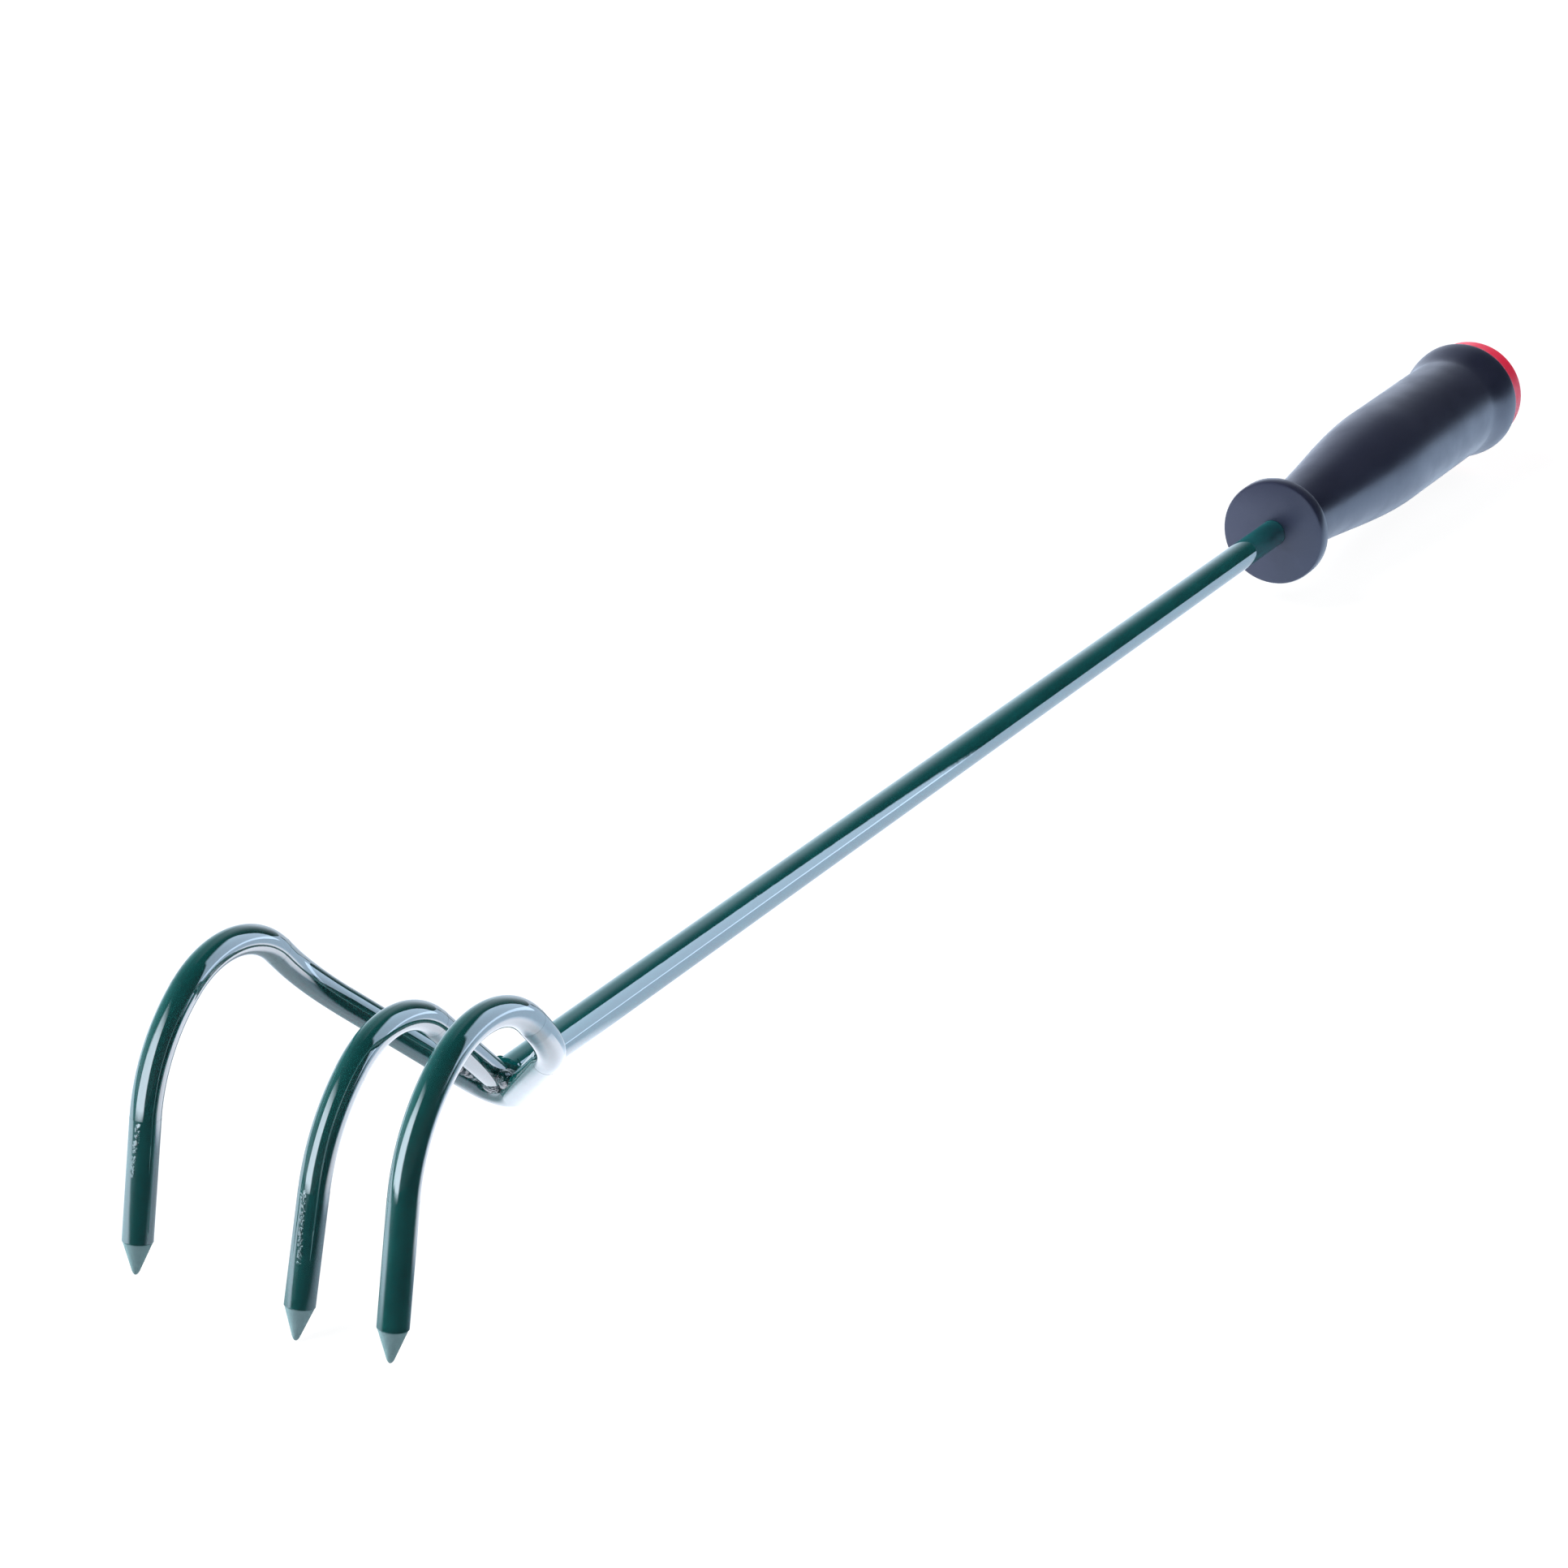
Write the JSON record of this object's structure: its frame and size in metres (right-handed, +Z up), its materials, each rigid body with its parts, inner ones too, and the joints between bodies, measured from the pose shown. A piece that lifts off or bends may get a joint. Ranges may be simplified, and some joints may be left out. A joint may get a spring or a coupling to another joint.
{
  "type": "hand cultivator",
  "caption": "Long green garden cultivator with pointed claws bent from round rod, welded to a straight round bar, and a black grip with a guard and a red end.",
  "frame": {"origin": "on the floor under the middle of the tool's length, the floor touching the centre point", "axes": "+X along the bar, from the handle to the claws, +Z up, with the points down; the tool is symmetric about the XZ plane"},
  "size_m": [0.6318, 0.0658, 0.0683],
  "materials": {
    "green_enamel": "gloss enamel, dark bottle green",
    "weld_enamel": "gloss enamel over a rippled weld, a little burnt",
    "red_core": "satin gloss, bright red",
    "black_grip": "soft satin, very dark slate"
  },
  "bodies": {
    "root": {"shank": "green_enamel", "outer_tines": "green_enamel", "centre_tine": "green_enamel", "shank_weld": "weld_enamel", "tine_weld": "weld_enamel", "handle_core": "red_core", "grip": "black_grip"}
  },
  "joints": []
}
